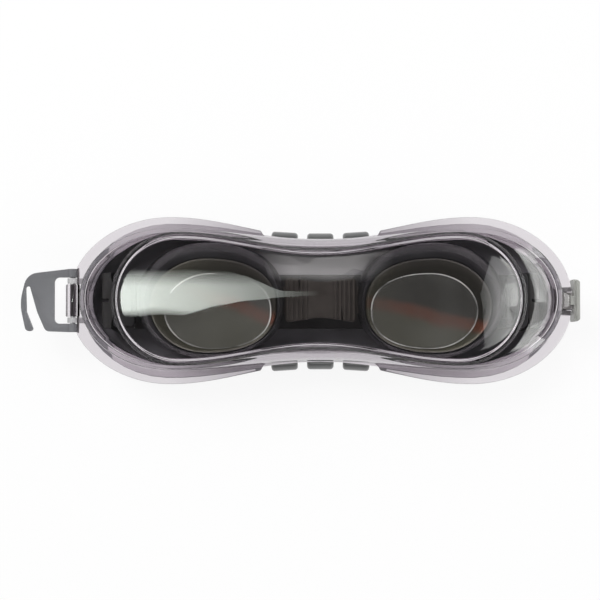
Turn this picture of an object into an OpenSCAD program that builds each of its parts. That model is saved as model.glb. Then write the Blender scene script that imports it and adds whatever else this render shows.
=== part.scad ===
// Swimming goggles that lie lens up in their hinged travel case, hook at the left end and latch at the right.
// The origin is the middle of the case's underside. X runs along the case, Y across it and Z up.

/* [Eye pieces] */
// Distance from the middle of the nose to the outer end of an eye frame
eye_outer = 69.6; // [66:0.2:74]
// Distance from the middle of the nose to the inner end of an eye frame
eye_inner = 13.5; // [12:0.1:15]
// Distance from the middle of the nose to the tallest place of an eye frame
eye_peak = 44; // [41:0.5:47]
// Half of an eye frame's height from brow to cheek
eye_half = 22.2; // [20:0.1:24]
// Height of an eye frame from its lower edge to the rim round the lens
frame_h = 17; // [15:0.5:20]
// Wall of an eye frame
frame_wall = 2; // [1.6:0.1:2.4]
// Distance from a frame's outline to the lens that it holds
rim_w = 4.4; // [3.8:0.1:5]
// Distance from a frame's outline to the edge of the flat lens face
face_inset = 6.6; // [6.2:0.1:7.4]
// How far the lens face sits towards the cheek
face_drop = 3.5; // [2:0.1:4.5]
// How far the lens face sits towards the nose
face_shift = 2.2; // [0:0.1:3]
// Height of the lens face above the frame's rim
lens_rise = 4; // [3.4:0.1:5]
// Fall of the lens face from its middle to its edge
lens_crown = 1; // [0.5:0.1:1.6]
// Wall of a lens
lens_wall = 1.6; // [1.2:0.1:2]
// Thickness of a protective film
film_t = 0.2; // [0.1:0.05:0.4]
// Margin of bare lens round a film
film_margin = 1.6; // [1.2:0.1:2.4]
// How far a film sits towards the nose on its lens
film_shift = 1.1; // [0:0.1:1.3]
// How far a film sits towards the cheek on its lens
film_drop = 1; // [0:0.1:1.2]

/* [Seals and nose bridge] */
// Height of a soft seal below its frame
seal_h = 9.4; // [8:0.2:11]
// Thickness of a soft seal
seal_t = 1.8; // [1.4:0.1:2.2]
// Depth of a seal's neck inside its frame
neck_h = 2; // [1.5:0.1:3]
// Width of the seal's lip that lies on the face
lip_w = 5.4; // [4:0.1:7]
// Width of the nose bridge at its ends
bridge_w = 17; // [14:0.5:19]
// Thickness of the nose bridge
bridge_t = 3; // [2.4:0.1:3.6]
// Rise of the nose bridge in its middle
bridge_rise = 2.4; // [1:0.1:4]
// Height of the nose bridge's ends above the frame's lower edge
bridge_z = 9; // [7.5:0.1:10.5]
// Number of flexing ribs at each end of the bridge
rib_count = 5; // [3:1:6]
// Distance between two ribs
rib_pitch = 1.75; // [1.4:0.05:1.9]
// Height of a rib
rib_h = 0.7; // [0.4:0.05:1]
// Width of a rib
rib_w = 0.9; // [0.7:0.05:1.1]

/* [Strap and buckles] */
// Width of the strap where it enters a buckle
strap_w = 13; // [10:0.5:15]
// Width of the strap's two bands together
bands_w = 21; // [19:0.5:22]
// Width of the slit between the two bands
slit_w = 1.2; // [0.8:0.1:2]
// Thickness of the strap
strap_t = 1.5; // [1.2:0.1:1.8]
// Space between two folded runs of the strap
fold_gap = 1.5; // [1:0.1:2]
// How far the strap's loops lean outwards at their top
loop_lean = 2.4; // [0:0.2:2.6]
// Length of a buckle
buckle_l = 7.2; // [6.6:0.1:8]
// Width of a buckle
buckle_w = 20; // [18:0.5:22]
// Height of a buckle
buckle_h = 6; // [5.4:0.1:7]
// Height of a buckle's underside above the frame's lower edge
buckle_z = 1; // [0.5:0.1:2]
// Size of a release button along the strap and across it
button_size = [5, 9.4]; // [4:0.1:10]
// Travel of a release button
button_travel = 1.2; // [0.8:0.1:1.4]

/* [Case shell] */
// Wall of both shells
case_wall = 1.8; // [1.5:0.1:2.2]
// Thickness of the base's floor
floor_t = 2; // [1.6:0.1:2.6]
// Room between the eye frames and the case's sides
side_room = 2.3; // [2:0.1:4]
// Room between the eye frames and the case's ends for strap and buckles
end_room = 18.7; // [18.4:0.1:24]
// Room between the films and the inside of the lid
lid_room = 2.4; // [1.5:0.1:5]
// Half width of the case at its waist
waist_half = 23; // [21:0.1:25]
// Distance from the middle to the widest place of the case
lobe_x = 57; // [53:0.5:60]
// Height of the base up to the parting face
base_h = 22; // [20:0.5:25]
// Thickness of the base's rim
rim_t = 2; // [1.6:0.1:2.6]
// Width of the base's rim at the lobes
rim_side = 2.7; // [1.5:0.1:3.5]
// Thickness of the lid's clear flange
flange_t = 1.7; // [1.4:0.1:2.2]
// Width of the lid's flange at the lobes
flange_side = 5.4; // [4:0.1:6.5]
// Width of the lid's flange at the ends
flange_end = 5.6; // [5:0.1:6.5]
// Half length of the place at the waist where the flange is cut away
cut_half = 22; // [20.5:0.1:25]
// Depth of the lid's locating lip inside the base
lip_depth = 2; // [1.2:0.1:3]
// Width of the lid's shoulder at the ends, up to the raised window
shoulder_end = 14; // [12:0.1:17]
// Width of the lid's shoulder at the lobes
shoulder_side = 3.3; // [3:0.1:4.5]
// Width of the lid's shoulder at the waist
shoulder_waist = 5.2; // [4.5:0.1:7]

/* [Hinge and hook] */
// Distance of the hinge axis outside the shell's wall
hinge_out = 4.1; // [3.9:0.1:4.6]
// Radius of the hinge pin
pin_r = 1; // [0.8:0.05:1.2]
// Half length of the lid's knuckle
knuckle_half = 6.1; // [5:0.1:7]
// Outer radius of the lid's knuckle
knuckle_r = 2.7; // [2.6:0.1:3.1]
// Width of one of the base's hinge ears
ear_w = 2; // [1.6:0.1:2.2]
// Outer radius of the base's hinge ears
ear_r = 2.1; // [1.9:0.05:2.2]
// Reach of the hook outside the hinge axis
hook_reach = 20; // [18:0.1:24]
// Width of each of the hook's two arms
arm_w = 3.2; // [2.6:0.1:4]
// Thickness of the hook
hook_t = 2.4; // [2:0.1:2.6]
// Length of the slot between the hook's arms
slot_l = 7; // [6:0.1:8]

/* [Latch] */
// Distance of the latch pin outside the shell's wall
latch_out = 2.6; // [2.5:0.1:3]
// Height of the latch pin
latch_z = 14.5; // [13:0.1:15.5]
// Radius of the latch pin
latch_pin_r = 0.8; // [0.6:0.05:1]
// Width of the latch's neck
neck_w = 6.2; // [5:0.1:8]
// Width of the latch's thumb tab
tab_w = 16; // [13:0.5:19]
// Thickness of the thumb tab
tab_t = 2.4; // [2:0.1:3]
// Height of the thumb tab above the parting face
tab_rise = 3.2; // [2.4:0.1:4]

/* [Grip pads] */
// Length of a grip pad along the case
pad_l = 10.2; // [8:0.1:11.5]
// Distance between two grip pads
pad_pitch = 13.8; // [12.5:0.1:14.5]
// How far a pad stands out of the wall
pad_out = 3.2; // [2:0.1:3.5]
// Height of a pad's middle above the underside
pad_z = 14.5; // [13.5:0.1:15]
// Radius of a pad's round back
pad_r = 4.5; // [4:0.1:4.8]

/* [Clearances] */
// Gap between soft or loosely lying pieces
seat_gap = 0.3; // [0.2:0.05:0.5]
// Gap between rigid pieces that move past each other
run_gap = 0.35; // [0.3:0.05:0.5]
// Radial clearance of a pin in its bore
pin_fit = 0.04; // [0.02:0.01:0.08]
// Gap of pieces that are pushed together
push_gap = 0.1; // [0.05:0.05:0.2]

/* [Hidden] */

case_points = 72; // points of a shell outline
eye_points = 36; // points of an eye outline
round_fn = 48;

// Heights, from the floor of the case up
strap_z1 = floor_t + seat_gap + strap_t / 2;
strap_pitch = strap_t + fold_gap;
strap_z2 = strap_z1 + strap_pitch;
strap_z3 = strap_z2 + strap_pitch;
seal_z = strap_z3 + strap_t / 2 + seat_gap;
frame_z = seal_z + seal_h;
rim_z = frame_z + frame_h;
lens_z = rim_z + lens_rise;
ceiling_z = lens_z + push_gap + film_t + lid_room;
case_h = ceiling_z + case_wall;
lid_z = base_h + seat_gap;
flange_z = lid_z + flange_t;

// Outlines as [half length, half width of a lobe, half width of the waist, place of the lobe]
wall_o = [eye_outer + end_room + case_wall, eye_half + side_room + case_wall, waist_half, lobe_x];
rim_o = [wall_o[0] + 0.9, wall_o[1] + rim_side, wall_o[2] + 0.2, lobe_x];
flange_o = [wall_o[0] + flange_end, wall_o[1] + flange_side, wall_o[2] + 0.9, lobe_x];
window_o = [wall_o[0] - shoulder_end, wall_o[1] - shoulder_side, wall_o[2] - shoulder_waist, lobe_x - 7];
floor_o = [wall_o[0] - 12, wall_o[1] - 6.8, wall_o[2] - 8.5, lobe_x - 5];

// The lid's profile as [distance from the wall, share of the way from there to the window, distance inside
// the window, share of the height, share of the way from wall to window at the waist]
lid_profile = [
    [0, 0, 0, 0, 0], [0.35, 0, 0, 0.3, 0.06], [0.55, 0, 0, 0.5, 0.15], [0.8, 0, 0, 0.68, 0.31],
    [1, 0, 0, 0.79, 0.5], [1.4, 0, 0, 0.86, 0.66], [2.2, 0, 0, 0.9, 0.82], [2.2, 0.6, 0, 0.912, 0.92],
    [0, 1, 0, 0.92, 1], [0, 1, 0.4, 0.935, 1], [0, 1, 1, 0.975, 1], [0, 1, 1.5, 1, 1]
];
// The base's profile as [share of the way from floor to rim, share of the height]
base_profile = [[0, 0], [0.24, 0.02], [0.52, 0.09], [0.76, 0.22], [0.91, 0.38], [0.97, 0.55], [1, 0.86]];

hinge_x = -(wall_o[0] + hinge_out);
hinge_z = base_h + seat_gap / 2;
ear_y = knuckle_half + run_gap;
arm_y = ear_y + ear_w + run_gap;
hook_half = arm_y + arm_w;
eye_r = ear_r - 0.1;
notch_r = ear_r + 0.5;

latch_x = wall_o[0] + latch_out;
latch_r = latch_out - run_gap;
latch_ear_y = neck_w / 2 + run_gap;
latch_ear_w = 1.6;
tab_x = flange_o[0] + run_gap;

buckle_x = eye_outer + push_gap + 0.6;
strap_top = frame_z + buckle_z + buckle_h * 0.42;
button_gap = button_travel + seat_gap;

function mix(a, b, t) = a + (b - a) * t;
function mix_outline(a, b, t) = [for (i = [0:3]) mix(a[i], b[i], t)];
function inset_outline(o, d) = [o[0] - d, o[1] - d, o[2] - d, o[3]];

// Half width of a peanut outline at x: a cosine from the waist to the lobe, then a quarter ellipse
function peanut_half(x, o) = abs(x) <= o[3]
    ? mix(o[2], o[1], (1 - cos(180 * abs(x) / o[3])) / 2)
    : o[1] * sqrt(max(0, 1 - pow((abs(x) - o[3]) / (o[0] - o[3]), 2)));

// Distance from the middle at which the rounded end of an outline is 2 y wide
function peanut_end(y, o) = o[3] + (o[0] - o[3]) * sqrt(1 - pow(y / o[1], 2));

function peanut_ring(o, z) = [
    for (i = [0:case_points - 1])
        let (a = 360 * i / case_points, x = o[0] * cos(a))
        [x, sign(round(sin(a) * 1e6)) * peanut_half(x, o), z]
];

// Egg outline of the right eye piece, drawn in by d and moved towards cheek and nose by the share lean
function power(v, e) = sign(v) * pow(abs(v), e);
function eye_ring(d, z, lean = 0) = [
    for (i = [0:eye_points - 1])
        let (
            a = 360 * i / eye_points,
            outer = cos(a) >= 0,
            reach = (outer ? eye_outer - eye_peak : eye_peak - eye_inner) - d,
            e = outer ? 1 : 2 / 2.3
        )
        [eye_peak + reach * power(cos(a), e), (eye_half - d) * power(sin(a), e), z]
            - lean * [face_shift, face_drop, 0]
];
function lean_at(d) = min(1, d / face_inset);

// Height of the crowned lens face over a point
face_c = [(eye_outer + eye_inner) / 2 - face_shift, -face_drop];
face_a = [(eye_outer - eye_inner) / 2 - face_inset, eye_half - face_inset];
function face_z(x, y) = lens_z - lens_crown
    * (pow((x - face_c[0]) / face_a[0], 2) + pow((y - face_c[1]) / face_a[1], 2));
function face_ring(d, share, lift) = [
    for (p = eye_ring(d, 0, 1))
        let (x = mix(face_c[0], p[0], share), y = mix(face_c[1], p[1], share))
        [x, y, face_z(x, y) + lift]
];
function face_cap(d, share, lift) = [
    for (p = face_ring(d, share, 0)) [p[0], p[1], lens_z + lift]
];

// Closed skin through rings of equally many points; an open stack gets a flat cap at each end
module ring_loft(rings, closed = false) {
    n = len(rings[0]);
    m = len(rings);
    sides = [
        for (r = [0:m - (closed ? 1 : 2)], i = [0:n - 1])
            let (
                a = r * n + i,
                b = r * n + (i + 1) % n,
                c = ((r + 1) % m) * n + (i + 1) % n,
                d = ((r + 1) % m) * n + i
            )
            each [[a, d, c], [a, c, b]]
    ];
    caps = closed ? [] : [[for (i = [0:n - 1]) i], [for (i = [n - 1:-1:0]) (m - 1) * n + i]];
    polyhedron([for (ring = rings) each ring], concat(sides, caps), convexity = 8);
}

// Outline with rounded corners from points [x, y, radius]
function unit(v) = v / norm(v);
function half_turn(a) = a - 360 * round(a / 360);
function corner_arc(a, p, b, r, n) = let (
    u = unit(a - p), v = unit(b - p), half = acos(u * v) / 2,
    c = p + unit(u + v) * r / sin(half),
    s = p + u * r / tan(half) - c, e = p + v * r / tan(half) - c,
    from = atan2(s[1], s[0]), turn = half_turn(atan2(e[1], e[0]) - from)
) [for (i = [0:n]) c + r * [cos(from + turn * i / n), sin(from + turn * i / n)]];
function flat(p) = [p[0], p[1]];
function rounded(pts, n = 6) = let (m = len(pts)) [
    for (i = [0:m - 1])
        each (pts[i][2] == 0
            ? [flat(pts[i])]
            : corner_arc(flat(pts[(i + m - 1) % m]), flat(pts[i]), flat(pts[(i + 1) % m]), pts[i][2], n))
];
function round_box(x0, x1, y0, y1, r) = rounded([[x0, y0, r], [x1, y0, r], [x1, y1, r], [x0, y1, r]]);

// Plate from an outline in X and Z that is as wide as w along Y
module side_plate(outline, y, w) {
    translate([0, y + w, 0])
        rotate([90, 0, 0])
            linear_extrude(height = w)
                polygon(outline);
}

module rod_y(x, z, y, w, r) {
    translate([x, y + w, z])
        rotate([90, 0, 0])
            cylinder(h = w, r = r, $fn = round_fn);
}

// Rod along Y from -half to half
module mid_rod(x, z, half, r) {
    rod_y(x, z, -half, 2 * half, r);
}

module both_sides() {
    children();
    mirror([0, 1, 0])
        children();
}

module left_side() {
    mirror([1, 0, 0])
        children();
}

// Grey base of the case
function base_ring(p, d, low) = peanut_ring(
    inset_outline(mix_outline(floor_o, wall_o, p[0]), d), mix(low, base_h - rim_t, p[1] / 0.86)
);

module base_shell() {
    outer = [for (p = base_profile) base_ring(p, 0, 0)];
    rim = [
        peanut_ring(rim_o, base_h - rim_t), peanut_ring(rim_o, base_h),
        peanut_ring(inset_outline(wall_o, case_wall), base_h)
    ];
    inner = [for (i = [len(base_profile) - 1:-1:0]) base_ring(base_profile[i], case_wall, floor_t)];
    ring_loft(concat(outer, rim, inner));
}

module hinge_ear() {
    foot_x = -peanut_end(ear_y + ear_w, wall_o) + case_wall / 2;
    top_z = hinge_z - 0.7;
    side_plate([
        [hinge_x, hinge_z - ear_r], [foot_x, base_h - 9], [foot_x, top_z], [hinge_x, top_z]
    ], ear_y, ear_w);
    rod_y(hinge_x, hinge_z, ear_y, ear_w, ear_r);
}

module latch_ear() {
    foot_x = peanut_end(latch_ear_y + latch_ear_w, wall_o) - case_wall / 2;
    side_plate([
        [latch_x, latch_z - latch_r], [foot_x, latch_z - latch_r - 1.5],
        [foot_x, latch_z + latch_r + 1.5], [latch_x, latch_z + latch_r]
    ], latch_ear_y, latch_ear_w);
    rod_y(latch_x, latch_z, latch_ear_y, latch_ear_w, latch_r);
}

module case_base() {
    color([0.44, 0.45, 0.46])
        difference() {
            union() {
                base_shell();
                both_sides()
                    hinge_ear();
                both_sides()
                    latch_ear();
            }
            mid_rod(hinge_x, hinge_z, ear_y, knuckle_r + run_gap);
            mid_rod(hinge_x, hinge_z, hook_half + 1, pin_r + pin_fit);
            mid_rod(latch_x, latch_z, latch_ear_y, latch_r + run_gap);
            mid_rod(latch_x, latch_z, latch_ear_y + latch_ear_w + 1, latch_pin_r + pin_fit);
            for (i = [-1:1])
                both_sides()
                    pad_place(i)
                        pad_stem(pad_stem_r + pin_fit, case_wall + 2);
        }
}

// Clear lid of the case: a steep wall and a flat shoulder at the ends, one long slope at the waist
function waist_share(x) = let (
    lobe_from = lobe_x - 13, waist_to = cut_half - 4,
    s = max(0, min(1, (lobe_from - abs(x)) / (lobe_from - waist_to)))
) s * s * (3 - 2 * s);
function lid_ring(p, d, high) = let (
    z = mix(flange_z, high, p[3]),
    wall = peanut_ring(inset_outline(wall_o, d), z),
    edge = peanut_ring(inset_outline(wall_o, d + p[0]), z),
    inside = peanut_ring(inset_outline(window_o, d + p[2]), z)
) [
    for (i = [0:case_points - 1])
        let (at_end = mix(edge[i], inside[i], p[1]), at_waist = mix(wall[i], inside[i], p[4]))
        mix(at_end, at_waist, waist_share(wall[i][0]))
];

module lid_shell() {
    inner = [for (i = [len(lid_profile) - 1:-1:0]) lid_ring(lid_profile[i], case_wall, ceiling_z)];
    lip_o = inset_outline(wall_o, case_wall + seat_gap);
    lip_in = inset_outline(lip_o, 1);
    lip = [
        peanut_ring(lip_in, flange_z - 1.2), peanut_ring(lip_in, lid_z - lip_depth),
        peanut_ring(lip_o, lid_z - lip_depth), peanut_ring(lip_o, lid_z),
        peanut_ring(flange_o, lid_z), peanut_ring(flange_o, flange_z)
    ];
    outer = [for (p = lid_profile) lid_ring(p, 0, case_h)];
    ring_loft(concat(inner, lip, outer));
}

module lid_knuckle() {
    barrel = [for (i = [0:8]) let (s = i / 4 - 1) [knuckle_r - 0.3 * s * s, knuckle_half * (1 + s)]];
    translate([hinge_x, knuckle_half, hinge_z])
        rotate([90, 0, 0])
            rotate_extrude($fn = round_fn)
                polygon(concat([[0, 0]], barrel, [[0, 2 * knuckle_half]]));
}

module waist_cut() {
    difference() {
        translate([0, 0, lid_z - 1])
            linear_extrude(height = flange_t + 1)
                polygon(round_box(-cut_half, cut_half, -flange_o[1], flange_o[1], 2.5));
        translate([0, 0, lid_z - 2])
            linear_extrude(height = flange_t + 3)
                polygon([for (p = peanut_ring(wall_o, 0)) flat(p)]);
    }
}

module case_lid() {
    nib_half = neck_w * 0.27;
    color([0.86, 0.87, 0.89, 0.35])
        difference() {
            union() {
                lid_shell();
                lid_knuckle();
            }
            waist_cut();
            mid_rod(hinge_x, hinge_z, hook_half, pin_r + pin_fit);
            both_sides()
                rod_y(hinge_x, hinge_z, knuckle_half, hook_half + seat_gap - knuckle_half, notch_r);
            translate([flange_o[0] - 1.5, -nib_half - run_gap, lid_z - 1])
                cube([4, 2 * (nib_half + run_gap), flange_t + 2]);
        }
}

module hinge_pin() {
    color([0.72, 0.73, 0.75])
        mid_rod(hinge_x, hinge_z, hook_half, pin_r);
}

// Flat hook that swings on the ends of the hinge pin; u runs outwards from the hinge axis
module hook_outline() {
    r = hook_reach;
    h = hook_half;
    beak = r - 2.1;
    root = pin_r + 0.3;
    mouth_x = r - 6.6;
    mouth_bend = 20;
    beak_y = 5.6;
    polygon([for (p = rounded([
        [root, h, 0], [r - 2.6, h - 1.9, 5.5], [r + 0.1, -1, 18], [r - 2.3, -h, 1.7], [r - 5.2, 0.7 - h, 0.9],
        [beak - 0.3, -4.2, 1.4], [beak, beak_y, 0.9], [beak - 1.7, beak_y - 0.3, 0.7],
        [mouth_x, -4.5, mouth_bend], [r - 9.8, 0.3 - h, 2.2], [root, -h, 0]
    ])) [-p[0], p[1]]]);
}

module hanging_hook() {
    slot_half = hook_half - arm_w;
    color([0.49, 0.5, 0.52])
        difference() {
            union() {
                translate([hinge_x, 0, hinge_z - hook_t / 2])
                    linear_extrude(height = hook_t)
                        hook_outline();
                both_sides()
                    rod_y(hinge_x, hinge_z, arm_y, arm_w, eye_r);
            }
            translate([hinge_x, 0, hinge_z - 4])
                linear_extrude(height = 8)
                    polygon(round_box(-slot_l, 4, -slot_half, slot_half, 1.9));
            mid_rod(hinge_x, hinge_z, hook_half + 1, pin_r + pin_fit);
        }
}

// Latch lever: hub on its pin, neck under the flange, nib in the flange's notch and a wide thumb tab
module latch_tab() {
    shelf_z = base_h - 0.4;
    nib_half = neck_w * 0.27;
    tab_top = base_h + tab_rise;
    color([0.68, 0.69, 0.67])
        difference() {
            union() {
                mid_rod(latch_x, latch_z, neck_w / 2, latch_r);
                side_plate(rounded([
                    [latch_x - 1, latch_z, 0], [latch_x + latch_r, latch_z, 0], [tab_x + 0.3, shelf_z - 3, 2],
                    [tab_x + 0.3, shelf_z, 0], [latch_x - 1, shelf_z, 0.6]
                ]), -neck_w / 2, neck_w);
                side_plate([
                    [tab_x - 1.3, base_h + seat_gap + 0.3], [tab_x + 0.5, base_h - 2],
                    [tab_x + 0.5, tab_top - 0.6], [tab_x - 1.3, tab_top - 0.6]
                ], -nib_half, 2 * nib_half);
                intersection() {
                    side_plate(rounded([
                        [tab_x, latch_z, 0.8], [tab_x + tab_t, latch_z, 0.8], [tab_x + tab_t, tab_top, 0.9],
                        [tab_x + 0.9, tab_top, 0], [tab_x + 0.9, tab_top - 0.8, 0], [tab_x, tab_top - 0.8, 0]
                    ]), -tab_w / 2, tab_w);
                    translate([tab_x - 1, 0, 0])
                        rotate([90, 0, 90])
                            linear_extrude(height = tab_t + 2)
                                polygon(round_box(-tab_w / 2, tab_w / 2, latch_z, tab_top, 2));
                }
            }
            mid_rod(latch_x, latch_z, neck_w / 2 + 1, latch_pin_r + pin_fit);
        }
}

module latch_pin() {
    color([0.72, 0.73, 0.75])
        mid_rod(latch_x, latch_z, latch_ear_y + latch_ear_w, latch_pin_r);
}

// Grip pads at the waist, each turned square to the wall behind it
pad_stem_r = 1.5;
function wall_slope(x) = atan((peanut_half(x + 0.5, wall_o) - peanut_half(x - 0.5, wall_o)) / 1);

module pad_place(i) {
    x = i * pad_pitch;
    translate([x, peanut_half(x, wall_o), pad_z])
        rotate([0, 0, wall_slope(x)])
            children();
}

module pad_stem(r, l) {
    rotate([90, 0, 0])
        translate([0, 0, -push_gap])
            cylinder(h = l, r = r, $fn = round_fn);
}

module pad_body() {
    edge = 1.3;
    pad_stem(pad_stem_r, case_wall);
    intersection() {
        translate([-pad_l / 2, pad_out - pad_r, 0])
            rotate([0, 90, 0])
                rotate_extrude($fn = round_fn)
                    polygon(rounded([[0, 0, 0], [pad_r, 0, edge], [pad_r, pad_l, edge], [0, pad_l, 0]]));
        translate([-pad_l, push_gap / 2, -pad_r])
            cube([2 * pad_l, pad_out + 1, 2 * pad_r]);
    }
}

module grip_pad(i) {
    color([0.32, 0.33, 0.34])
        pad_place(i)
            pad_body();
}

// Eye frame with its lens seat, seal pocket, sockets for bridge and buckle
module frame_shell() {
    seat = 1.6;
    shelf = neck_h + seat_gap;
    inner = rim_w + seat;
    points = [
        [1.6, 0, 0], [0.3, 1.2, 0], [0, 4, 0], [0.3, frame_h * 0.55, lean_at(0.3)],
        [1.3, frame_h * 0.8, lean_at(1.3)], [2.6, frame_h * 0.94, lean_at(2.6)],
        [3.4, frame_h, lean_at(3.4)], [rim_w, frame_h, lean_at(rim_w)],
        [rim_w, frame_h - seat, lean_at(rim_w)], [inner, frame_h - seat, lean_at(inner)],
        [inner, frame_h - 2 * seat, lean_at(inner)],
        [1.3 + frame_wall, frame_h * 0.72, lean_at(1.3)], [0.3 + frame_wall, frame_h * 0.52, 0],
        [frame_wall, shelf + 1.4, 0], [neck_in, shelf + 1.4, 0], [neck_in, shelf, 0],
        [neck_d - seat_gap, shelf, 0], [neck_d - seat_gap, 0, 0]
    ];
    ring_loft([for (p = points) eye_ring(p[0], frame_z + p[1], p[2])], true);
}
neck_d = 4;
neck_in = neck_d + seal_t - 0.4;

tongue_t = 1.8;
tongue_w = 10;
socket_l = 4;

module eye_frame() {
    color([0.2, 0.21, 0.22])
        difference() {
            union() {
                frame_shell();
                translate([0, 0, frame_z + buckle_z + 1])
                    linear_extrude(height = buckle_h - 2)
                        polygon(round_box(eye_outer - 1.4, buckle_x - push_gap, -7, 7, 0.9));
            }
            translate([eye_inner - 2, -tongue_w / 2 - push_gap, frame_z + bridge_z - tongue_t / 2 - push_gap])
                cube([socket_l + 2, tongue_w + 2 * push_gap, tongue_t + 2 * push_gap]);
        }
}

// Lens: rim in the frame's seat, rounded side and crowned face
module lens() {
    d = rim_w + push_gap;
    side = [[d, -1.5], [d, 0], [d + 0.3, 0.35 * lens_rise], [d + 1, 0.6 * lens_rise]];
    in = lens_wall * 0.8;
    outer = [for (p = side) eye_ring(p[0], rim_z + p[1], lean_at(p[0]))];
    inner = [
        for (p = side)
            eye_ring(p[0] + in, rim_z + p[1] - lens_wall * max(0, p[0] - d) * 0.6, lean_at(p[0] + in))
    ];
    ring_loft(concat(
        [face_cap(face_inset, 0.15, -lens_wall)],
        [for (s = [0.45, 0.75, 0.93]) face_ring(face_inset, s, -lens_wall)],
        [for (i = [len(side) - 1:-1:0]) inner[i]],
        outer,
        [for (s = [1, 0.75, 0.45]) face_ring(face_inset, s, 0)],
        [face_cap(face_inset, 0.15, 0)]
    ));
}

module eye_lens() {
    color([0.29, 0.29, 0.25, 0.8])
        lens();
}

function film_ring(share, lift) = [
    for (p = face_ring(face_inset + film_margin, share, 0))
        let (x = p[0] - film_shift, y = p[1] - film_drop)
        [x, y, (share < 0.2 ? lens_z : face_z(x, y)) + lift]
];

module film() {
    shares = [0.15, 0.45, 0.75, 1];
    color([0.85, 0.88, 0.85, 0.3])
        ring_loft(concat(
            [for (i = [0:3]) film_ring(shares[i], push_gap)],
            [for (i = [3:-1:0]) film_ring(shares[i], push_gap + film_t)]
        ));
}

// Soft seal: neck in the frame, flaring skirt and a lip that turns in under the eye
module eye_seal() {
    top = seal_h + neck_h;
    under = seal_h - seat_gap;
    in = neck_d + seal_t;
    points = [
        [2.6, 0], [1.2, 0.5], [0.8, 1.8], [1.3, seal_h * 0.48], [1.8, seal_h * 0.8], [2.2, under],
        [neck_d, under], [neck_d, top], [in, top], [in, seal_h * 0.92], [1.9 + seal_t, seal_h * 0.7],
        [1.3 + seal_t, seal_h * 0.45], [0.9 + seal_t, seal_t + 0.9], [1.8 + seal_t, seal_t * 0.85],
        [2.6 + lip_w * 0.9, seal_t * 0.65], [2.6 + lip_w, seal_t * 0.3], [2.6 + lip_w * 0.9, 0]
    ];
    color([0.14, 0.14, 0.15])
        ring_loft([for (p = points) eye_ring(p[0], seal_z + p[1])], true);
}

// Nose bridge: arched band, waisted in plan, with flexing ribs and a tongue in each frame
module nose_bridge() {
    reach = eye_inner - push_gap;
    base_z = frame_z + bridge_z;
    steps = 16;
    plan_h = 30;
    function arch(x) = base_z + bridge_rise * (1 - pow(x / reach, 2));
    top = [for (i = [0:steps]) let (x = mix(-reach, reach, i / steps)) [x, arch(x) + bridge_t / 2]];
    under = [for (i = [steps:-1:0]) let (x = mix(-reach, reach, i / steps)) [x, arch(x) - bridge_t / 2]];
    color([0.3, 0.29, 0.27]) {
        intersection() {
            union() {
                side_plate(concat(top, under), -bridge_w / 2, bridge_w);
                for (s = [-1, 1], i = [0:rib_count - 1]) {
                    x = s * (reach - 0.9 - i * rib_pitch);
                    skin_z = arch(x) + bridge_t / 2;
                    side_plate(rounded([
                        [x - rib_w / 2, skin_z - 0.8, 0], [x + rib_w / 2, skin_z - 0.8, 0],
                        [x + rib_w / 2, skin_z + rib_h, 0.3], [x - rib_w / 2, skin_z + rib_h, 0.3]
                    ], 4), -bridge_w / 2 + 1, bridge_w - 2);
                }
            }
            translate([0, 0, base_z - plan_h / 2])
                linear_extrude(height = plan_h)
                    polygon(rounded([
                        [-reach, -bridge_w / 2, 1.5], [0, -bridge_w / 2 + 2, 20], [reach, -bridge_w / 2, 1.5],
                        [reach, bridge_w / 2, 1.5], [0, bridge_w / 2 - 2, 20], [-reach, bridge_w / 2, 1.5]
                    ]));
        }
        for (s = [-1, 1])
            translate([s * (reach + (socket_l - 1) / 2 - 0.5), 0, base_z])
                cube([socket_l, tongue_w, tongue_t], center = true);
    }
}

// Buckle: hollow block that the strap's end runs into, with a shaft for the release button
module buckle() {
    z0 = frame_z + buckle_z;
    mid = buckle_x + buckle_l / 2;
    shaft = [button_size[0] - 1.6, button_size[1] - 1.6];
    color([0.36, 0.37, 0.38])
        difference() {
            translate([0, 0, z0])
                linear_extrude(height = buckle_h)
                    polygon(round_box(buckle_x, buckle_x + buckle_l, -buckle_w / 2, buckle_w / 2, 2));
            translate([buckle_x + 1.5, -strap_w / 2 - seat_gap, strap_top - strap_t / 2 - seat_gap])
                cube([buckle_l, strap_w + 2 * seat_gap, strap_t + 2 * seat_gap]);
            translate([mid - shaft[0] / 2 - run_gap, -shaft[1] / 2 - run_gap, strap_top])
                cube([shaft[0] + 2 * run_gap, shaft[1] + 2 * run_gap, buckle_h]);
        }
}

module release_button() {
    z0 = frame_z + buckle_z + buckle_h;
    mid = buckle_x + buckle_l / 2;
    shaft = [button_size[0] - 1.6, button_size[1] - 1.6];
    stem = button_gap + 1;
    b = button_size;
    color([0.6, 0.61, 0.6]) {
        translate([mid - shaft[0] / 2, -shaft[1] / 2, z0 + button_gap - stem])
            cube([shaft[0], shaft[1], stem + 0.5]);
        translate([0, 0, z0 + button_gap])
            linear_extrude(height = 1.3)
                polygon(round_box(mid - b[0] / 2, mid + b[0] / 2, -b[1] / 2, b[1] / 2, b[0] / 2 - 0.1));
    }
}

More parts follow.
